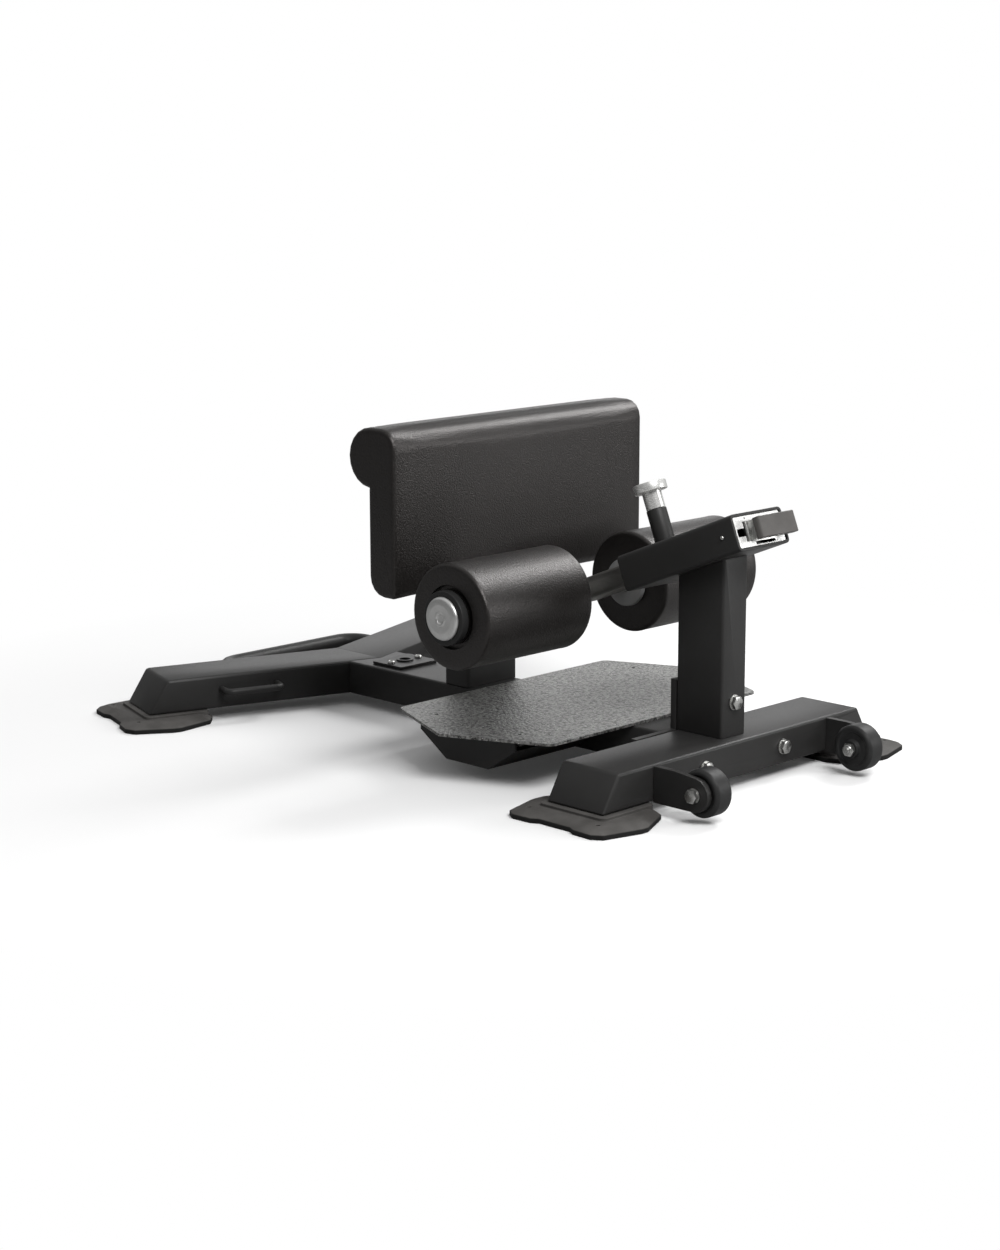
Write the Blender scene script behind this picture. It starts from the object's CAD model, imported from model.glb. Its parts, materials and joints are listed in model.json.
import json
import math

import bmesh
import bpy
from mathutils import Matrix, Vector

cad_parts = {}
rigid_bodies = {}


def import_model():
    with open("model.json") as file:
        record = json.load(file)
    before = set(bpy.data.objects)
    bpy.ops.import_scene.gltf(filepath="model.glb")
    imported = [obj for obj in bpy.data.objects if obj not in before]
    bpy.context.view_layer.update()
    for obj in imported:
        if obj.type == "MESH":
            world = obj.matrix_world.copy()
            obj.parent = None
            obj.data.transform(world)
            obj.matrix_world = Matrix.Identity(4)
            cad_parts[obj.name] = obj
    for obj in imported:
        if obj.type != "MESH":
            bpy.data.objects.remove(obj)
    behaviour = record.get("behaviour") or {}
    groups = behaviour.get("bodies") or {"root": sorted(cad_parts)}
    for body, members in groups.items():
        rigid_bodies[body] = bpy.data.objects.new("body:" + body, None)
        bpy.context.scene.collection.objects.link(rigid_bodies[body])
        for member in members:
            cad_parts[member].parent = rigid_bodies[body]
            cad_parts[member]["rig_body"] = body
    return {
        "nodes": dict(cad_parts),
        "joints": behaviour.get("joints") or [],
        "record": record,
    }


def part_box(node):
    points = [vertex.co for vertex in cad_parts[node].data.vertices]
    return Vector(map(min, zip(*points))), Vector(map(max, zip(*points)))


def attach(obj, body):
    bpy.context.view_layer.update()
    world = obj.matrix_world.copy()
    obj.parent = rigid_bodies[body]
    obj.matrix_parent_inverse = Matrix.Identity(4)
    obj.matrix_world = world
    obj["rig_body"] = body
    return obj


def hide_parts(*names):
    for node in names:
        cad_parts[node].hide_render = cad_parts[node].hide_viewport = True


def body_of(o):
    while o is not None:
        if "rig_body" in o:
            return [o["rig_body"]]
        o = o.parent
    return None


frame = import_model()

# The tilted adjuster: the roller axle is its origin, Z is square to the sleeve's top
JOINTS = {joint["name"]: joint for joint in frame["joints"]}
SLIDE_AXIS = Vector(JOINTS["roller_slide"]["axis"])
TILT = math.atan2(SLIDE_AXIS.z, -SLIDE_AXIS.y)
AXLE = Vector(JOINTS["roller_left_spin"]["pos_m"])
ADJUSTER = Matrix.Translation(AXLE) @ Matrix.Rotation(-TILT, 4, "X")
SLOTS = {part["node"]: part["material_slot"] for part in frame["record"]["subparts"]}
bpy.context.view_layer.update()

# Fasteners: width across the flats, heights of head and nut, radii of shank and washer
M10 = {"across": 0.017, "head": 0.0066, "shank": 0.005, "nut": 0.008, "washer": 0.0105}
M8 = {"across": 0.013, "head": 0.0055, "shank": 0.004, "nut": 0.0065, "washer": 0.009}
WHEEL_WASHER = 0.0098
SCREW_SHANK = 0.0022

# A washer's thickness, the thread beyond a nut and its pitch, and how far a shank runs into its head
SHIM = 0.0016
BOLT_TAIL = 0.002
THREAD_PITCH = 0.00125
OVERLAP = 0.0002

# The clearance between pieces that touch, and the turn of the rear legs
GAP = 0.0003
LEG_SWEEP = math.radians(18.5)

# Limits of the mesh tools: merging points, joining flat faces and keeping an edge crisp
WELD = 0.000005
SPUN_WELD = 0.000002
FLAT = math.radians(0.5)
CRISP = math.radians(34)

DRESSED = bpy.data.collections.new("dressed_bench")
bpy.context.scene.collection.children.link(DRESSED)
STUDIO = bpy.data.collections.new("studio")
bpy.context.scene.collection.children.link(STUDIO)


def extent(node, place):
    """The lowest and highest corner of a CAD node in a turned frame."""
    item = frame["nodes"][node]
    back = place.inverted() @ item.matrix_world
    spots = [back @ vertex.co for vertex in item.data.vertices]
    return Vector(map(min, zip(*spots))), Vector(map(max, zip(*spots)))


# Materials

# The middle of a noise's values, the colour sockets of a Mix node and two turns of a texture
NOISE_LOW, NOISE_HIGH = 0.3, 0.7
COLOUR_A, COLOUR_B, COLOUR_OUT = 6, 7, 2
LEVEL = (0.0, 0.0, 0.0)
TILTED = (TILT, 0.0, 0.0)


class Surface:
    """A node material under construction, with its Principled shader."""

    def __init__(self, name):
        self.material = bpy.data.materials.new(name)
        self.material.use_nodes = True
        self.tree = self.material.node_tree
        self.shader = self.tree.nodes["Principled BSDF"]
        self.place = self.add("ShaderNodeTexCoord").outputs["Object"]

    def add(self, kind, **settings):
        node = self.tree.nodes.new(kind)
        for key, value in settings.items():
            setattr(node, key, value)
        return node

    def feed(self, socket, value):
        """Set a socket from a number, a colour or another node's output."""
        if isinstance(value, bpy.types.NodeSocket):
            self.tree.links.new(value, socket)
        elif isinstance(value, tuple) and len(value) == 3 and len(socket.default_value) == 4:
            socket.default_value = (*value, 1.0)
        else:
            socket.default_value = value

    def shade(self, **values):
        """Set the shader's own sockets by name."""
        for key, value in values.items():
            self.feed(self.shader.inputs[key.replace("_", " ")], value)

    def turned(self, scale, rotation):
        """Object coordinates, rotated and stretched."""
        node = self.add("ShaderNodeMapping")
        self.feed(node.inputs["Vector"], self.place)
        node.inputs["Rotation"].default_value = rotation
        node.inputs["Scale"].default_value = scale
        return node.outputs["Vector"]

    def noise(self, scale, detail=2.0, roughness=0.5, place=None):
        node = self.add("ShaderNodeTexNoise")
        self.feed(node.inputs["Vector"], place or self.place)
        node.inputs["Scale"].default_value = scale
        node.inputs["Detail"].default_value = detail
        node.inputs["Roughness"].default_value = roughness
        return node.outputs["Fac"]

    def cells(self, scale, feature="F1"):
        node = self.add("ShaderNodeTexVoronoi", feature=feature)
        self.feed(node.inputs["Vector"], self.place)
        node.inputs["Scale"].default_value = scale
        return node.outputs["Distance"]

    def spread(self, value, low, high, to_low, to_high):
        """Map a value's range onto another, clamped."""
        node = self.add("ShaderNodeMapRange")
        for socket, given in zip(node.inputs, (value, low, high, to_low, to_high)):
            self.feed(socket, given)
        return node.outputs["Result"]

    def varied(self, noise, to_low, to_high):
        """Map the middle of a noise onto a range."""
        return self.spread(noise, NOISE_LOW, NOISE_HIGH, to_low, to_high)

    def mixed(self, factor, first, second):
        """A colour between two colours."""
        node = self.add("ShaderNodeMix", data_type="RGBA")
        self.feed(node.inputs["Factor"], factor)
        self.feed(node.inputs[COLOUR_A], first)
        self.feed(node.inputs[COLOUR_B], second)
        return node.outputs[COLOUR_OUT]

    def tinted(self, noise, dark, light):
        """A colour that a noise moves between two colours."""
        return self.mixed(self.varied(noise, 0.0, 1.0), dark, light)

    def summed(self, first, second, weight=1.0):
        """The first value plus the weighted second."""
        node = self.add("ShaderNodeMath", operation="MULTIPLY_ADD")
        self.feed(node.inputs[0], second)
        self.feed(node.inputs[1], weight)
        self.feed(node.inputs[2], first)
        return node.outputs[0]

    def bump(self, height, distance, strength):
        node = self.add("ShaderNodeBump")
        self.feed(node.inputs["Height"], height)
        node.inputs["Distance"].default_value = distance
        node.inputs["Strength"].default_value = strength
        self.feed(self.shader.inputs["Normal"], node.outputs["Normal"])


def grey(level):
    return (level, level, level)


def powder_coat():
    """Black powder coat with a fine orange peel."""
    surface = Surface("powder_coat_finish")
    broad = surface.noise(scale=14.0, detail=3.0)
    peel = surface.noise(scale=900.0, detail=2.0)
    grit = surface.noise(scale=2600.0, detail=1.0)
    surface.shade(
        Base_Color=surface.tinted(broad, (0.023, 0.0225, 0.022), (0.029, 0.0285, 0.028)),
        Roughness=surface.varied(peel, 0.38, 0.50),
        Specular_IOR_Level=0.30,
    )
    surface.bump(surface.summed(peel, grit, 0.5), distance=0.00012, strength=0.5)
    return surface.material


def tread_steel():
    """Grit-blasted plate: dark mottles, grey grit and a few bright sparkles."""
    surface = Surface("tread_steel_finish")
    mottles = surface.cells(190.0)
    fine = surface.noise(scale=300.0, detail=3.0, roughness=0.7)
    sparkle = surface.spread(surface.noise(scale=420.0, detail=1.0), 0.68, 0.76, 0.0, 1.0)
    speck = surface.spread(surface.summed(fine, mottles, -0.35), 0.12, 0.46, 0.0, 1.0)
    grit = surface.mixed(speck, (0.050, 0.049, 0.047), (0.36, 0.36, 0.35))
    surface.shade(
        Base_Color=surface.mixed(sparkle, grit, (0.95, 0.95, 0.92)),
        Metallic=0.72,
        Roughness=surface.varied(fine, 0.36, 0.50),
    )
    surface.bump(surface.summed(fine, mottles, -0.8), distance=0.0010, strength=0.9)
    return surface.material


def brushed(name, colour, roughness, scale, turn, mark, metal=1.0):
    """Polished metal with fine drawn lines along one direction."""
    surface = Surface(name)
    lines = surface.noise(scale=1.0, detail=3.0, roughness=0.6, place=surface.turned(scale, turn))
    broad = surface.noise(scale=35.0, detail=2.0)
    dull = tuple(part * 0.86 for part in colour)
    surface.shade(
        Base_Color=surface.tinted(broad, dull, colour),
        Metallic=metal,
        Roughness=surface.varied(lines, roughness * 0.8, roughness * 1.25),
    )
    surface.bump(lines, distance=mark, strength=0.5)
    return surface.material


def zinc():
    return brushed("zinc_finish", (0.62, 0.62, 0.60), 0.30, (700.0, 700.0, 700.0), LEVEL, mark=0.00006)


def chrome():
    scale = (900.0, 40.0, 900.0)
    return brushed("chrome_finish", (0.86, 0.86, 0.84), 0.26, scale, TILTED, mark=0.00002, metal=0.55)


def brushed_cap():
    scale = (90.0, 1400.0, 1400.0)
    return brushed("brushed_cap_finish", (0.70, 0.70, 0.69), 0.34, scale, LEVEL, mark=0.00005, metal=0.85)


def worn_slide():
    """The slide's rough steel, drawn along its length."""
    scale = (500.0, 60.0, 500.0)
    return brushed("worn_slide_finish", (0.24, 0.235, 0.225), 0.45, scale, TILTED, mark=0.00015)


def mouth_block():
    """Chrome on the block's face and a dark finish inside its pocket, window and slot."""
    surface = Surface("mouth_block_finish")
    depth = surface.add("ShaderNodeVectorMath", operation="DOT_PRODUCT")
    surface.feed(depth.inputs[0], surface.place)
    surface.feed(depth.inputs[1], tuple(SLIDE_AXIS))
    front = extent("mouth_cap", ADJUSTER)[0].y
    face = (ADJUSTER @ Vector((0.0, front, 0.0))).dot(SLIDE_AXIS)
    inside = surface.spread(depth.outputs["Value"], face - 0.0022, face - 0.0008, 1.0, 0.0)
    drawn = surface.turned((900.0, 900.0, 60.0), TILTED)
    lines = surface.noise(scale=1.0, detail=3.0, roughness=0.6, place=drawn)
    bright = surface.tinted(lines, (0.78, 0.78, 0.77), (0.90, 0.90, 0.88))
    surface.shade(
        Base_Color=surface.mixed(inside, bright, grey(0.006)),
        Metallic=surface.spread(inside, 0.0, 1.0, 0.45, 0.0),
        Roughness=surface.varied(lines, 0.24, 0.36),
    )
    return surface.material


def moulded(name, dark, light, roughness, grain, depth):
    """Moulded rubber or plastic with a fine even texture."""
    surface = Surface(name)
    fine = surface.noise(scale=grain, detail=3.0, roughness=0.6)
    broad = surface.noise(scale=30.0, detail=3.0)
    surface.shade(
        Base_Color=surface.tinted(broad, dark, light),
        Roughness=surface.varied(fine, roughness - 0.07, roughness + 0.07),
        Specular_IOR_Level=0.25,
    )
    surface.bump(fine, distance=depth, strength=0.6)
    return surface.material


def rubber():
    """Dusty rubber whose upright rim next to the floor stays black."""
    surface = Surface("rubber_finish")
    fine = surface.noise(scale=900.0, detail=3.0, roughness=0.6)
    broad = surface.noise(scale=30.0, detail=3.0)
    height = surface.add("ShaderNodeSeparateXYZ")
    surface.feed(height.inputs[0], surface.place)
    dust = surface.spread(height.outputs["Z"], 0.0056, 0.0072, 0.0, 1.0)
    pale = surface.tinted(broad, (0.060, 0.057, 0.054), (0.095, 0.091, 0.087))
    surface.shade(
        Base_Color=surface.mixed(dust, (0.012, 0.0118, 0.0115), pale),
        Roughness=surface.varied(fine, 0.55, 0.70),
        Specular_IOR_Level=0.22,
    )
    surface.bump(fine, distance=0.0003, strength=0.7)
    return surface.material


def tyre():
    return moulded("tyre_finish", grey(0.018), grey(0.028), 0.48, grain=1100.0, depth=0.00012)


def black_plastic():
    return moulded("black_plastic_finish", grey(0.018), grey(0.026), 0.42, grain=1500.0, depth=0.00008)


def grip_plastic():
    dark, light = (0.075, 0.071, 0.068), (0.100, 0.095, 0.091)
    return moulded("grip_plastic_finish", dark, light, 0.45, grain=1200.0, depth=0.0001)


def grey_plastic():
    return moulded("grey_plastic_finish", grey(0.26), grey(0.33), 0.42, grain=1500.0, depth=0.00008)


def leather():
    """Black leather with a fine pebbled grain that breaks its highlights into specks."""
    surface = Surface("leather_finish")
    pebbles = surface.cells(520.0, "SMOOTH_F1")
    creases = surface.noise(scale=430.0, detail=3.0, roughness=0.60)
    broad = surface.noise(scale=9.0, detail=3.0)
    wide = surface.varied(broad, 0.0, 0.4)
    tone = surface.summed(wide, surface.spread(creases, 0.35, 0.65, 0.0, 0.6))
    surface.shade(
        Base_Color=surface.mixed(tone, (0.0025, 0.0022, 0.0020), (0.0085, 0.0074, 0.0066)),
        Roughness=surface.spread(creases, 0.35, 0.65, 0.34, 0.46),
        Specular_IOR_Level=0.60,
        Specular_Tint=(1.0, 0.95, 0.93),
    )
    surface.bump(surface.summed(creases, pebbles, -1.0), distance=0.00042, strength=0.75)
    return surface.material


FINISHES = {
    "powder_coat": powder_coat(),
    "tread_steel": tread_steel(),
    "zinc": zinc(),
    "chrome": chrome(),
    "rubber": rubber(),
    "tyre": tyre(),
    "black_plastic": black_plastic(),
    "grey_plastic": grey_plastic(),
    "leather": leather(),
}
BRUSHED_CAP = brushed_cap()
WORN_SLIDE = worn_slide()
MOUTH_BLOCK = mouth_block()
GRIP_PLASTIC = grip_plastic()


# Mesh tools

def mesh_of(shape, name):
    mesh = bpy.data.meshes.new(name)
    shape.normal_update()
    shape.to_mesh(mesh)
    shape.free()
    mesh.shade_smooth()
    mesh.set_sharp_from_angle(angle=CRISP)
    return mesh


def piece(name, mesh, slot, nodes=()):
    """Put a mesh into the bench as a piece that stands for some CAD nodes."""
    item = bpy.data.objects.new(name, mesh)
    DRESSED.objects.link(item)
    mesh.materials.clear()
    mesh.materials.append(FINISHES[slot])
    body = "bench_frame"
    if nodes:
        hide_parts(*nodes)
        body = body_of(frame["nodes"][nodes[0]])[0]
    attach(item, body)
    return item


def modified(item, kind, **settings):
    modifier = item.modifiers.new(kind.lower(), kind)
    for key, value in settings.items():
        setattr(modifier, key, value)


def long_sharp_edges(shape):
    """The edges along a tube's corners."""
    length, bend = 0.03, 0.7
    return [edge for edge in shape.edges if edge.calc_length() > length and edge.calc_face_angle(0) > bend]


def clean_copy(node):
    """The CAD node's shape with its points merged and its flat faces joined."""
    shape = bmesh.new()
    shape.from_mesh(frame["nodes"][node].data)
    bmesh.ops.remove_doubles(shape, verts=shape.verts, dist=WELD)
    bmesh.ops.dissolve_limit(shape, angle_limit=FLAT, verts=shape.verts, edges=shape.edges)
    return shape


def refined(node, width=0.0008, segments=2, tube=False):
    """The CAD node again, with clean faces and rounded edges, more so along a tube's corners."""
    shape = clean_copy(node)
    if tube:
        bmesh.ops.bevel(
            shape,
            geom=long_sharp_edges(shape),
            offset=0.0018,
            segments=3,
            profile=0.5,
            affect="EDGES",
            clamp_overlap=True,
        )
    item = piece(f"{node}_body", mesh_of(shape, node), SLOTS[node], [node])
    item.data.shade_smooth()
    modified(
        item,
        "BEVEL",
        width=width,
        segments=segments,
        limit_method="ANGLE",
        angle_limit=CRISP,
        miter_outer="MITER_ARC",
        harden_normals=True,
    )
    return item


def turned(profile, sides, ring=False):
    """A solid of revolution round Z through (radius, height) points."""
    shape = bmesh.new()
    points = [shape.verts.new((radius, 0.0, height)) for radius, height in profile]
    edges = [shape.edges.new(pair) for pair in zip(points, points[1:])]
    if ring:
        edges.append(shape.edges.new((points[-1], points[0])))
    bmesh.ops.spin(
        shape,
        geom=points + edges,
        cent=(0, 0, 0),
        axis=(0, 0, 1),
        angle=math.tau,
        steps=sides,
        use_merge=True,
    )
    bmesh.ops.remove_doubles(shape, verts=shape.verts, dist=SPUN_WELD)
    bmesh.ops.recalc_face_normals(shape, faces=shape.faces)
    return shape


def rounded(profile, radius, steps, closed=False):
    """The profile with each corner replaced by a small arc."""
    count = len(profile)
    result = []
    for index, point in enumerate(profile):
        if not closed and index in (0, count - 1):
            result.append(point)
            continue
        here = Vector(point)
        before = Vector(profile[index - 1]) - here
        after = Vector(profile[(index + 1) % count]) - here
        reach = min(radius, before.length * 0.45, after.length * 0.45)
        start = here + before.normalized() * reach
        end = here + after.normalized() * reach
        for step in range(steps + 1):
            t = step / steps
            spot = start * (1 - t) ** 2 + here * (2 * t * (1 - t)) + end * t ** 2
            result.append((spot.x, spot.y))
    return result


def added(shape, other):
    """Put one shape's faces into another and return it."""
    mesh = bpy.data.meshes.new("other")
    other.to_mesh(mesh)
    other.free()
    shape.from_mesh(mesh)
    bpy.data.meshes.remove(mesh)
    return shape


def lofted(shape, rings):
    """Join each ring of points to the next one and close both ends."""
    for lower, upper in zip(rings, rings[1:]):
        for index, corner in enumerate(lower):
            after = (index + 1) % len(lower)
            shape.faces.new((corner, lower[after], upper[after], upper[index]))
    shape.faces.new(rings[0][::-1])
    shape.faces.new(rings[-1])
    return shape


def hexagon_outline(half, angle, low, high, both):
    """Radius and height of a hexagonal bar's four rings at one angle."""
    flat = half * 0.95
    edge_height = 0.00002
    reach = half / math.cos((angle % (math.pi / 3)) - math.pi / 6)
    drop = (reach - flat) * math.tan(math.radians(30))
    if both:
        foot = [(flat, low), (reach, low + drop)]
    else:
        foot = [(reach, low), (reach, low + edge_height)]
    return foot + [(reach, high - drop), (flat, high)]


def hexagon_bar(across, low, high, both=False):
    """A hexagonal bar along Z whose top, or both ends, are turned down to a chamfer."""
    sides = 48
    angles = [math.tau * step / sides for step in range(sides)]
    outlines = [hexagon_outline(across / 2, angle, low, high, both) for angle in angles]
    shape = bmesh.new()
    rings = []
    for level in zip(*outlines):
        ring = []
        for angle, (radius, height) in zip(angles, level):
            ring.append(shape.verts.new((radius * math.cos(angle), radius * math.sin(angle), height)))
        rings.append(ring)
    return lofted(shape, rings)


def thread(radius, low, high):
    """A threaded rod's end along Z, as a run of ridges."""
    depth = THREAD_PITCH * 0.5
    profile = [(0.0, high), (radius - depth, high)]
    count = max(int((high - low) / THREAD_PITCH), 1)
    for turn in range(count):
        top = high - (high - low) * turn / count
        profile.append((radius, top - depth))
        profile.append((radius - depth, top - THREAD_PITCH))
    profile += [(radius - depth, low), (0.0, low)]
    return turned(profile, 24)


def rod(radius, low, high):
    profile = [(0.0, high), (radius, high), (radius, low), (0.0, low)]
    return turned(profile, 24)


def washer(bore, radius, low, high):
    profile = [(bore, low), (radius, low), (radius, high), (bore, high)]
    return turned(rounded(profile, 0.0004, 2, True), 40, ring=True)


def locking_nut(across, shank, top, height):
    """A nut under Z = top whose lower end is a round collar, with the bolt's tail below it."""
    base = top - height
    shape = hexagon_bar(across, top - height * 0.72, top, True)
    collar = [
        (shank, base), (across * 0.40, base), (across * 0.44, top - height * 0.7),
        (shank, top - height * 0.7),
    ]
    added(shape, turned(rounded(collar, 0.0006, 2, True), 36, ring=True))
    return added(shape, thread(shank, base - BOLT_TAIL, base + 0.001))


def bolt(size, grip):
    """A hexagon bolt along Z with a washer on Z = 0 and, if it has one, a locking nut at Z = -grip."""
    across, shank = size["across"], size["shank"]
    shank_top = 0.0005
    shape = hexagon_bar(across, SHIM, SHIM + size["head"])
    added(shape, washer(shank, size["washer"], 0.0, SHIM))
    added(shape, rod(shank, -grip, shank_top))
    if size["nut"]:
        added(shape, locking_nut(across, shank, -grip, size["nut"]))
    return shape


def between(low, high):
    """The middle of a box."""
    return (Vector(low) + Vector(high)) / 2


def pointing(axis):
    """A rotation that turns +Z onto the axis."""
    return Vector(axis).to_track_quat("Z", "Y").to_matrix().to_4x4()


def tube_curve(name, path, radius, slot, nodes, resolution=7):
    """A bent round bar or wire as a smooth mesh."""
    curve = bpy.data.curves.new(name, "CURVE")
    curve.dimensions = "3D"
    curve.bevel_depth = radius
    curve.bevel_resolution = resolution
    curve.use_fill_caps = True
    spline = curve.splines.new("POLY")
    spline.points.add(len(path) - 1)
    for point, spot in zip(spline.points, path):
        point.co = (*spot, 1.0)
    item = bpy.data.objects.new(name, curve)
    STUDIO.objects.link(item)
    mesh = bpy.data.meshes.new_from_object(item.evaluated_get(bpy.context.evaluated_depsgraph_get()))
    bpy.data.objects.remove(item)
    bpy.data.curves.remove(curve)
    mesh.shade_smooth()
    mesh.set_sharp_from_angle(angle=CRISP)
    return piece(name, mesh, slot, nodes)


def bent(corners, radius, steps):
    """A path through corners with each inner corner rounded to a circular arc."""
    path = [Vector(corners[0])]
    for before, here, after in zip(corners, corners[1:], corners[2:]):
        back = (Vector(before) - Vector(here)).normalized()
        ahead = (Vector(after) - Vector(here)).normalized()
        half = back.angle(ahead) / 2
        reach = radius / math.tan(half)
        centre = Vector(here) + (back + ahead).normalized() * radius / math.sin(half)
        start = Vector(here) + back * reach - centre
        end = Vector(here) + ahead * reach - centre
        sweep = start.angle(end)
        for step in range(steps + 1):
            t = step / steps
            spot = (start * math.sin((1 - t) * sweep) + end * math.sin(t * sweep)) / math.sin(sweep)
            path.append(centre + spot)
    return path + [Vector(corners[-1])]


# Base

TUBE_NODES = ("front_crossbeam", "spine", "rear_leg_left", "rear_leg_right", "front_post", "pad_post")
STEEL_NODES = (
    "spine_flange", "adjuster_sleeve", "plate_cradle_left", "plate_cradle_right", "wheel_bracket_left",
    "wheel_bracket_right",
)
FINE_NODES = (
    "anchor_plate", "pad_post_cap", "pad_board", "guide_bushing", "mouth_cap", "lever_grip",
    "release_lever", "slide_tube",
)
OWN_FINISH = {
    "anchor_plate": FINISHES["powder_coat"],
    "mouth_cap": MOUTH_BLOCK,
    "lever_grip": GRIP_PLASTIC,
    "slide_tube": WORN_SLIDE,
}
SIDES = ((-1, "left"), (1, "right"))


def base_pieces():
    for node in TUBE_NODES:
        refined(node, 0.0007, tube=True)
    for node in STEEL_NODES:
        refined(node)
    for node in FINE_NODES:
        item = refined(node, 0.0005)
        if node in OWN_FINISH:
            item.data.materials[0] = OWN_FINISH[node]
    for corner in ("front_left", "front_right", "rear_left", "rear_right"):
        refined(f"foot_{corner}", 0.0014, 3)
    refined("foot_plate", 0.0009, 3)


def placed(name, shape, slot, nodes, matrix, finish=None):
    """A piece whose mesh is drawn about the origin and then put in its place."""
    item = piece(name, mesh_of(shape, name), slot, nodes)
    item.data.transform(matrix)
    if finish:
        item.data.materials[0] = finish
    return item


def wheels():
    """The transport wheels: a tyre with a sunk web round the hub."""
    bore, hub, dish, shoulder, lip = 0.0058, 0.012, 0.0015, 0.0035, 0.001
    for side, name in SIDES:
        node = f"wheel_{name}"
        low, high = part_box(node)
        middle = Vector(JOINTS[f"{node}_spin"]["pos_m"])
        radius = (high.z - low.z) / 2
        inner, outer = sorted((abs(low.x), abs(high.x)))
        out = outer - abs(middle.x)
        inward = abs(middle.x) - inner
        half = out - lip
        web, rim = radius * 0.72, radius * 0.76
        profile = [
            (bore, out), (hub, out), (hub + lip, half - dish), (web, half - dish),
            (rim, half), (radius - shoulder, half), (radius, half - shoulder),
            (radius, -half + shoulder), (radius - shoulder, -half), (rim, -half),
            (web, -half + dish), (hub + lip, -half + dish), (hub, -inward), (bore, -inward),
        ]
        shape = turned(rounded(profile, 0.0014, 3, True), 72, ring=True)
        place = Matrix.Translation(middle) @ pointing((side, 0, 0))
        placed(f"{node}_tyre", shape, "tyre", [node], place)


def frame_bolts():
    """The bolts of the flange and of the wheels, each with washer, nut and tail."""
    for node in ("beam_bolt_left", "beam_bolt_right", "post_bolt"):
        low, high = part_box(node)
        middle = between(low, high)
        grip = (high.y - low.y) - SHIM - M10["head"] - M10["nut"] - BOLT_TAIL
        place = Matrix.Translation((middle.x, low.y + SHIM + M10["head"], middle.z)) @ pointing((0, -1, 0))
        placed(f"{node}_hardware", bolt(M10, grip), "zinc", [node], place)
    for side, name in SIDES:
        node = f"wheel_bolt_{name}"
        low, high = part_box(node)
        middle = between(low, high)
        grip = (high.x - low.x) - SHIM - M10["head"] - M10["nut"] - BOLT_TAIL
        outer = high.x if side > 0 else low.x
        start = outer - side * (SHIM + M10["head"])
        place = Matrix.Translation((start, middle.y, middle.z)) @ pointing((side, 0, 0))
        placed(f"{node}_hardware", bolt(dict(M10, washer=WHEEL_WASHER), grip), "zinc", [node], place)


def pad_bolts():
    """The two bolts through the pad's post, with their heads behind it."""
    for node in ("pad_bolt_lower", "pad_bolt_upper"):
        low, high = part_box(node)
        middle = between(low, high)
        head = M8["head"]
        grip = (high.y - low.y) - SHIM - head
        place = Matrix.Translation((middle.x, high.y - SHIM - head, middle.z)) @ pointing((0, 1, 0))
        placed(f"{node}_hardware", bolt(dict(M8, nut=0.0), grip), "zinc", [node], place)


def socket_screw(radius, rise, depth, across, reach):
    """A round screw head along Z with a round recess in its top, and a shank down to Z = -reach."""
    crown = [
        (across * 0.50, rise - depth), (across * 0.54, rise), (radius * 0.72, rise),
        (radius * 0.95, rise * 0.55), (radius, rise * 0.2), (radius, 0.0),
    ]
    shape = turned([(0.0, rise - depth)] + rounded(crown, radius * 0.15, 3), 40)
    shank = [(0.0, OVERLAP), (SCREW_SHANK, OVERLAP), (SCREW_SHANK, -reach)]
    return added(shape, turned(shank, 24))


def plate_bolts():
    """Countersunk bolts, flush with the plate and dulled by the same coating, and their nuts."""
    grip, head, rim = 0.0089, 0.0082, 0.0004
    socket, mouth, socket_depth, cone_depth = 0.0026, 0.0028, 0.0022, 0.0036
    shank, nut = M8["shank"], M8["nut"]
    for name in ("left", "right"):
        for end in ("front", "rear"):
            node = f"plate_bolt_{end}_{name}"
            low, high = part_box(node)
            middle = between(low, high)
            profile = [
                (0.0, -socket_depth), (socket, -socket_depth), (mouth, -rim * 0.2), (head - rim, 0.0),
                (head, -rim), (shank, -cone_depth), (shank, -grip),
            ]
            shape = turned(rounded(profile, 0.0003, 2), 40)
            added(shape, hexagon_bar(M8["across"], -grip - nut, -grip, True))
            added(shape, thread(shank, low.z - high.z, -grip - nut))
            place = Matrix.Translation((middle.x, middle.y, high.z))
            placed(f"{node}_hardware", shape, "zinc", [node], place, FINISHES["tread_steel"])


def small_screws():
    """The anchor plate's screws and the one in the sleeve's side."""
    flatness = 0.62
    for name in ("left", "right"):
        node = f"anchor_screw_{name}"
        low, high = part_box(node)
        middle = between(low, high)
        radius = (high.x - low.x) / 2
        rise = radius * flatness
        shape = socket_screw(radius, rise, rise * 0.6, radius * 0.8, high.z - low.z - rise)
        place = Matrix.Translation((middle.x, middle.y, high.z - rise))
        placed(f"{node}_head", shape, "zinc", [node], place)
    low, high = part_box("sleeve_screw")
    middle = between(low, high)
    radius = (high.z - low.z) / 2
    rise = radius * flatness
    shape = socket_screw(radius, rise, rise * 0.5, radius * 0.7, high.x - low.x - rise)
    place = Matrix.Translation((low.x + rise, middle.y, middle.z)) @ pointing((-1, 0, 0))
    placed("sleeve_screw_head", shape, "zinc", ["sleeve_screw"], place)


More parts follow.
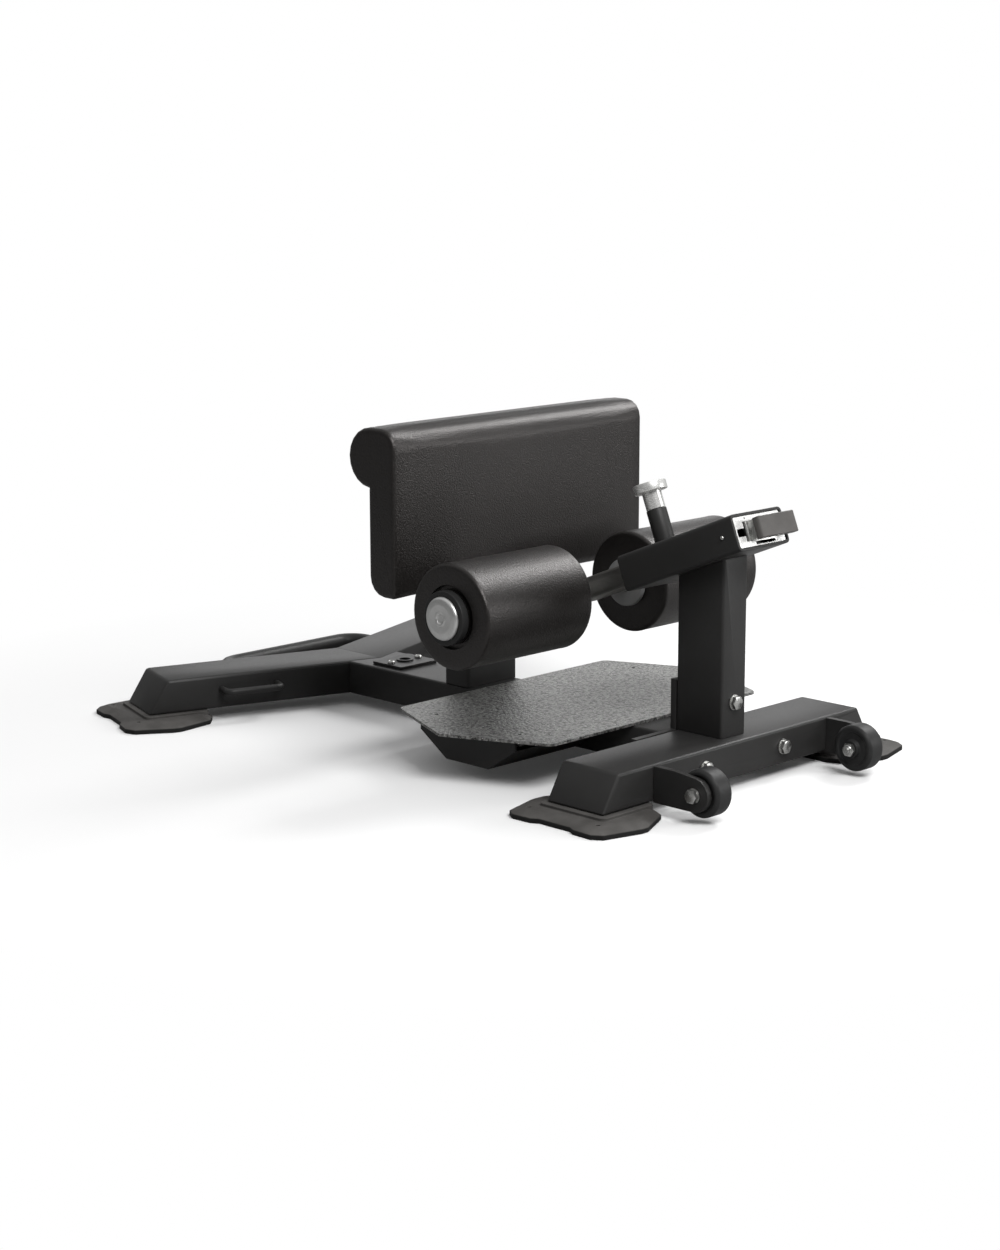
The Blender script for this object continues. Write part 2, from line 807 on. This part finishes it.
def handles():
    """The lift handle between the legs and the two small handles on them."""
    lift_bend, leg_bend = 0.035, 0.011
    low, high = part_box("lift_handle")
    radius = (high.z - low.z) / 2
    level = (high.z + low.z) / 2
    left, right, rear = low.x + radius, high.x - radius, high.y - radius
    root = low.y
    corners = [(left, root, level), (left, rear, level), (right, rear, level), (right, root, level)]
    tube_curve("lift_handle_tube", bent(corners, lift_bend, 14), radius, "powder_coat", ["lift_handle"])
    for side, name in SIDES:
        node = f"leg_handle_{name}"
        turn = Matrix.Rotation(side * LEG_SWEEP, 4, "Z")
        low, high = extent(node, turn)
        radius = (high.z - low.z) / 2
        level = (high.z + low.z) / 2
        left, right, front = low.x + radius, high.x - radius, low.y + radius
        root = high.y
        corners = [(left, root, level), (left, front, level), (right, front, level), (right, root, level)]
        path = [turn @ spot for spot in bent(corners, leg_bend, 10)]
        tube_curve(f"{node}_bar", path, radius, "powder_coat", [node])


# Adjuster

def pin_place():
    """The pull pin's axis as Z, counted from the level of the roller axle."""
    low, high = extent("pull_pin", ADJUSTER)
    return ADJUSTER @ Matrix.Translation((0.0, between(low, high).y, 0.0))


def pull_pin():
    """The knob, its neck on the housing, and the stem with its collar and tip."""
    low, high = extent("pull_pin", ADJUSTER)
    radius = (high.x - low.x) / 2
    seat = extent("pin_housing", ADJUSTER)[1].z + GAP
    neck, stem, collar, tip, thick, sunk = 0.0133, 0.0070, 0.0082, 0.0060, 0.0124, 0.0004
    collar_low, collar_high = 0.030, 0.033
    top, under = high.z, high.z - thick
    profile = [
        (0.0, top - sunk), (radius * 0.7, top - sunk), (radius, top), (radius, under),
        (neck, under), (neck, seat), (stem, seat), (stem, collar_high), (collar, collar_high),
        (collar, collar_low), (tip, collar_low), (tip, low.z), (0.0, low.z),
    ]
    placed("pull_pin_knob", turned(rounded(profile, 0.0012, 3), 64), "chrome", ["pull_pin"], pin_place())


def pin_housing():
    """The upright tube on the sleeve, closed by a roof with a hole for the stem."""
    low, high = extent("pin_housing", ADJUSTER)
    radius = (high.x - low.x) / 2
    bore, inner, roof = 0.0074, 0.0090, high.z - 0.005
    profile = [
        (bore, high.z), (radius, high.z), (radius, low.z), (inner, low.z), (inner, roof),
        (bore, roof),
    ]
    shape = turned(rounded(profile, 0.0009, 3, True), 56, ring=True)
    placed("pin_housing_tube", shape, "powder_coat", ["pin_housing"], pin_place())


def pin_spring():
    """The coil between the pin's collar and the housing's roof."""
    low, high = extent("pin_spring", ADJUSTER)
    place = pin_place()
    wire, turns, steps = 0.0006, 6, 24
    coil = (high.x - low.x) / 2 - wire
    path = []
    for step in range(turns * steps + 1):
        angle = math.tau * step / steps
        height = low.z + wire + (high.z - low.z - 2 * wire) * step / (turns * steps)
        path.append(place @ Vector((coil * math.cos(angle), coil * math.sin(angle), height)))
    tube_curve("pin_spring_wire", path, wire, "zinc", ["pin_spring"], resolution=2)


def lever_pin():
    """The rod that the release lever swings on."""
    low, high = extent("lever_pin", ADJUSTER)
    middle = between(low, high)
    radius = (high.x - low.x) / 2
    profile = [(0.0, high.z), (radius, high.z), (radius, low.z), (0.0, low.z)]
    place = ADJUSTER @ Matrix.Translation((middle.x, middle.y, 0.0))
    placed("lever_pin_rod", turned(rounded(profile, 0.0003, 2), 24), "zinc", ["lever_pin"], place)


def set_screw():
    """The small black screw sunk in the mouth block's face."""
    radius, length = 0.0013, 0.001
    across, level = -0.0233, 0.0177
    front = extent("mouth_cap", ADJUSTER)[0].y
    shape = rod(radius, -length, OVERLAP)
    place = ADJUSTER @ Matrix.Translation((across, front, level)) @ pointing((0, -1, 0))
    item = piece("mouth_set_screw", mesh_of(shape, "set_screw"), "black_plastic")
    item.data.transform(place)


# Roller carriage

def axle_pieces():
    """The axle, its collars on both sides of each roller, and the end caps."""
    low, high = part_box("roller_axle")
    half = high.x
    radius = (high.z - low.z) / 2
    bore = radius + GAP
    across = Matrix.Translation(AXLE) @ pointing((1, 0, 0))
    profile = [(0.0, half), (radius, half), (radius, -half), (0.0, -half)]
    placed("roller_axle_rod", turned(rounded(profile, 0.0005, 2), 48), "zinc", ["roller_axle"], across)
    for side, name in SIDES:
        place = Matrix.Translation(AXLE) @ pointing((side, 0, 0))
        collar_disc(f"inner_collar_{name}", bore, "grey_plastic", place)
        collar_disc(f"outer_collar_{name}", bore, "black_plastic", place)
        end_cap(f"end_cap_{name}", place)


def collar_disc(node, bore, slot, place):
    """A plastic disc on the axle."""
    low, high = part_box(node)
    radius = (high.z - low.z) / 2
    inner, outer = sorted((abs(low.x), abs(high.x)))
    profile = [(bore, outer), (radius, outer), (radius, inner), (bore, inner)]
    placed(f"{node}_disc", turned(rounded(profile, 0.0014, 4, True), 72, ring=True), slot, [node], place)


def end_cap(node, place):
    """A pressed metal cap: a low dome with a ring round its sunk middle."""
    low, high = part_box(node)
    radius = (high.z - low.z) / 2
    base, top = sorted((abs(low.x), abs(high.x)))
    middle, ring_low, ring_top, ring_outer = 0.0052, 0.0066, 0.0084, 0.0098
    profile = [
        (0.0, top - 0.0026), (middle, top - 0.0026), (ring_low, top - 0.0006), (ring_top, top),
        (ring_outer, top - 0.0012), (radius * 0.66, top - 0.0005), (radius * 0.90, top - 0.0018),
        (radius - 0.0006, top - 0.0040), (radius, base), (0.0, base),
    ]
    placed(f"{node}_dome", turned(rounded(profile, 0.0012, 4), 72), "chrome", [node], place, BRUSHED_CAP)


# Upholstery

# The covers' rolled edges, the rounding of the CAD pad, and how far the held edge reaches in
ROUND = 0.0055
CAD_ROUND = 0.005
HOLD = 0.001


def swollen(item, held, cap):
    """Blow a closed cover up with a cloth simulation and cap how far each point moves."""
    pressure, frames = 4.0, 12
    scene = bpy.context.scene
    mesh = item.data
    start = [vertex.co.copy() for vertex in mesh.vertices]
    group = item.vertex_groups.new(name="held")
    group.add([vertex.index for vertex in mesh.vertices if held(vertex.co)], 1.0, "REPLACE")
    cloth = item.modifiers.new("cloth", "CLOTH")
    cloth.settings.use_pressure = True
    cloth.settings.uniform_pressure_force = pressure
    cloth.settings.effector_weights.gravity = 0.0
    cloth.settings.vertex_group_mass = "held"
    cloth.collision_settings.use_collision = False
    cloth.point_cache.frame_start = 1
    cloth.point_cache.frame_end = frames
    for number in range(1, frames + 1):
        scene.frame_set(number)
    result = bpy.data.meshes.new_from_object(item.evaluated_get(bpy.context.evaluated_depsgraph_get()))
    item.modifiers.clear()
    item.vertex_groups.clear()
    for vertex, before, after in zip(mesh.vertices, start, result.vertices):
        move = after.co - before
        vertex.co = before + move * min(1.0, cap / max(move.length, 0.000001))
    bpy.data.meshes.remove(result)
    scene.frame_set(1)


def pad_outline():
    """The pad's outline across its width: the CAD pad's flat end face, let out by its rounding."""
    spacing = 0.0045
    shape = clean_copy("calf_pad")
    end = max(shape.faces, key=lambda face: face.calc_area() * (face.normal.x > 0.99))
    loop = [vertex.co.copy() for vertex in end.verts]
    shape.free()
    return inset(evenly_spaced(loop, spacing), -CAD_ROUND)


def evenly_spaced(loop, spacing):
    """Points along a closed line, none of them further apart than the spacing."""
    result = []
    for here, after in zip(loop, loop[1:] + loop[:1]):
        count = max(1, math.ceil((after - here).length / spacing))
        result += [here.lerp(after, step / count) for step in range(count)]
    return result


def inset(loop, depth):
    """The closed line in the YZ plane, moved inward."""
    area = sum(here.y * after.z - after.y * here.z for here, after in zip(loop, loop[1:] + loop[:1]))
    turn = 1 if area > 0 else -1
    result = []
    for index, spot in enumerate(loop):
        ahead = (loop[(index + 1) % len(loop)] - loop[index - 1]).normalized()
        result.append(spot + Vector((0.0, -ahead.z, ahead.y)) * depth * turn)
    return result


def pad_rows(end):
    """X and inset of the pad's rings: a flat end, a rolled edge, the long middle, and the same back."""
    steps, count = 5, 62
    face_inset = ROUND + 0.003
    half = end - ROUND
    rows = [(end, face_inset)]
    for step in range(steps + 1):
        angle = math.pi / 2 * step / steps
        rows.append((half + ROUND * math.cos(angle), ROUND * (1 - math.sin(angle))))
    ends = [(-x, depth) for x, depth in reversed(rows)]
    return rows + [(half * (1 - 2 * step / count), 0.0) for step in range(1, count)] + ends


def calf_pad():
    """The pad's cover, a little slack, swollen by its foam between two flat rolled ends."""
    slack, swell, board_drop, board_overlap = 0.0006, 0.0012, 0.088, 0.005
    low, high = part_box("calf_pad")
    loop = inset(pad_outline(), slack)
    shape = bmesh.new()
    rings = []
    for x, depth in pad_rows(high.x):
        line = inset(loop, depth) if depth else loop
        rings.append([shape.verts.new((x, spot.y, spot.z)) for spot in line])
    lofted(shape, rings)
    bmesh.ops.recalc_face_normals(shape, faces=shape.faces)
    item = piece("calf_pad_cover", mesh_of(shape, "calf_pad"), "leather", ["calf_pad"])
    edge = high.x - ROUND - HOLD
    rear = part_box("pad_board")[0].y - board_overlap
    foot = high.z - board_drop

    def held(spot):
        return abs(spot.x) > edge or (spot.y > rear and spot.z < foot)

    swollen(item, held, swell)


def roller_outline(inner, outer, radius):
    """Outer face with its hollow, rolled edge, side, rolled edge and inner end of a foam cover."""
    bore, hub, hollow, sunk, lip, slack = 0.0158, 0.0372, 0.0428, 0.006, 0.0006, 0.0003
    steps, rings = 6, 30
    face = [
        (bore, outer), (hub, outer), (hub, outer - sunk), (hollow, outer - sunk),
        (hollow, outer - lip), (hollow + lip, outer), ((hollow + radius) / 2, outer),
    ]
    rolled = []
    for step in range(steps + 1):
        angle = math.pi / 2 * step / steps
        rolled.append((radius - ROUND * (1 - math.sin(angle)), outer - ROUND * (1 - math.cos(angle))))
    body = []
    for step in range(1, rings):
        body.append((radius - slack, outer - ROUND + (inner - outer + 2 * ROUND) * step / rings))
    back = [(reach, inner + outer - height) for reach, height in reversed(rolled)]
    return face + rolled + body + back + [(bore, inner)]


def rollers():
    """Foam covers with rolled ends and a hollow round the outer collar, swollen a little."""
    swell = 0.0008
    for side, name in SIDES:
        node = f"roller_{name}"
        low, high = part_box(node)
        radius = (high.z - low.z) / 2
        inner, outer = sorted((abs(low.x), abs(high.x)))
        place = Matrix.Translation(AXLE) @ pointing((side, 0, 0))
        shape = turned(roller_outline(inner, outer, radius), 80, ring=True)
        item = placed(f"{node}_cover", shape, "leather", [node], place)
        middle = (inner + outer) / 2
        edge = (outer - inner) / 2 - ROUND - HOLD

        def held(spot):
            return abs(abs(spot.x) - middle) > edge

        swollen(item, held, swell)


base_pieces()
wheels()
frame_bolts()
pad_bolts()
plate_bolts()
small_screws()
handles()
pull_pin()
pin_housing()
pin_spring()
lever_pin()
set_screw()
axle_pieces()
rollers()
calf_pad()

# Each CAD node carries the finish of its slot
for name, node in frame["nodes"].items():
    node.data.materials.clear()
    node.data.materials.append(FINISHES[SLOTS[name]])


# Studio

def studio():
    """A pale floor that keeps the bench's shadow and turns plain white further out."""
    reach, centre, shadow_end, white_start = 30.0, (0.05, -0.05, 0.0), 0.55, 1.15
    mesh = bpy.data.meshes.new("floor")
    corners = [(-reach, -reach, 0), (reach, -reach, 0), (reach, reach, 0), (-reach, reach, 0)]
    mesh.from_pydata(corners, [], [(0, 1, 2, 3)])
    item = bpy.data.objects.new("floor", mesh)
    STUDIO.objects.link(item)
    surface = Surface("pale_floor")
    radius = surface.add("ShaderNodeVectorMath", operation="DISTANCE")
    surface.feed(radius.inputs[0], surface.place)
    surface.feed(radius.inputs[1], centre)
    far = surface.spread(radius.outputs["Value"], shadow_end, white_start, 0.0, 1.0)
    rays = surface.add("ShaderNodeLightPath")
    seen = rays.outputs["Is Camera Ray"]
    glow = surface.add("ShaderNodeMath", operation="MULTIPLY")
    surface.feed(glow.inputs[0], seen)
    surface.feed(glow.inputs[1], surface.spread(far, 0.0, 1.0, 0.03, 1.0))
    near = surface.mixed(seen, grey(0.35), grey(0.86))
    hide = surface.add("ShaderNodeMath", operation="MULTIPLY")
    surface.feed(hide.inputs[0], seen)
    surface.feed(hide.inputs[1], far)
    surface.shade(
        Base_Color=surface.mixed(hide.outputs[0], near, grey(0.0)),
        Roughness=0.9,
        Specular_IOR_Level=0.0,
        Emission_Color=grey(1.0),
        Emission_Strength=glow.outputs[0],
    )
    mesh.materials.append(surface.material)


def lamp(name, place, target, size, power):
    """A soft rectangular lamp."""
    light = bpy.data.lights.new(name, "AREA")
    light.shape = "RECTANGLE"
    light.size, light.size_y = size
    light.energy = power
    item = bpy.data.objects.new(name, light)
    STUDIO.objects.link(item)
    item.location = place
    item.rotation_euler = (Vector(target) - Vector(place)).to_track_quat("-Z", "Y").to_euler()


def lighting():
    """A key lamp high on the right, soft lamps in front, a low one behind on the right."""
    lamp("key", place=(2.3, -0.3, 2.4), target=(0.0, 0.0, 0.2), size=(1.1, 1.1), power=52.0)
    lamp("front_top", place=(-0.6, -2.2, 2.4), target=(0.0, 0.0, 0.2), size=(1.6, 1.2), power=76.0)
    lamp("front_right", place=(1.9, -2.6, 0.9), target=(0.0, 0.0, 0.25), size=(1.1, 0.9), power=22.0)
    lamp("rear_right", place=(1.9, 1.9, 0.8), target=(0.0, 0.0, 0.2), size=(2.0, 1.0), power=8.0)


def room():
    """A dim white room that glows more from above, and that the camera sees as plain white."""
    above = (0.15, 0.15, 0.98)
    glow_range = (("From Min", -0.1), ("From Max", 1.0), ("To Min", 0.02), ("To Max", 0.60))
    world = bpy.data.worlds.new("room")
    bpy.context.scene.world = world
    world.use_nodes = True
    tree = world.node_tree
    background = tree.nodes["Background"]
    background.inputs["Color"].default_value = (1.0, 1.0, 1.0, 1.0)
    rays = tree.nodes.new("ShaderNodeLightPath")
    place = tree.nodes.new("ShaderNodeTexCoord")
    side = tree.nodes.new("ShaderNodeVectorMath")
    side.operation = "DOT_PRODUCT"
    tree.links.new(place.outputs["Generated"], side.inputs[0])
    side.inputs[1].default_value = above
    glow = tree.nodes.new("ShaderNodeMapRange")
    tree.links.new(side.outputs["Value"], glow.inputs["Value"])
    for socket, value in glow_range:
        glow.inputs[socket].default_value = value
    strength = tree.nodes.new("ShaderNodeMath")
    strength.operation = "MAXIMUM"
    tree.links.new(glow.outputs["Result"], strength.inputs[0])
    tree.links.new(rays.outputs["Is Camera Ray"], strength.inputs[1])
    tree.links.new(strength.outputs[0], background.inputs["Strength"])


def camera():
    """The camera fitted to the photograph: its place, heading, downward tilt and roll."""
    place = (-2.53339, -2.48943, 0.89996)
    heading, tilt, roll = -45.2188, 11.7735, -0.1068
    view = bpy.data.cameras.new("camera")
    view.lens = 72.2023
    view.sensor_width = 36.0
    view.clip_end = 60.0
    item = bpy.data.objects.new("camera", view)
    STUDIO.objects.link(item)
    turn = Matrix.Rotation(math.radians(heading), 4, "Z")
    turn = turn @ Matrix.Rotation(math.radians(90 - tilt), 4, "X")
    turn = turn @ Matrix.Rotation(math.radians(roll), 4, "Z")
    item.matrix_world = Matrix.Translation(place) @ turn
    bpy.context.scene.camera = item


studio()
lighting()
room()
camera()
bpy.context.scene.view_settings.view_transform = "Standard"

bpy.context.view_layer.update()
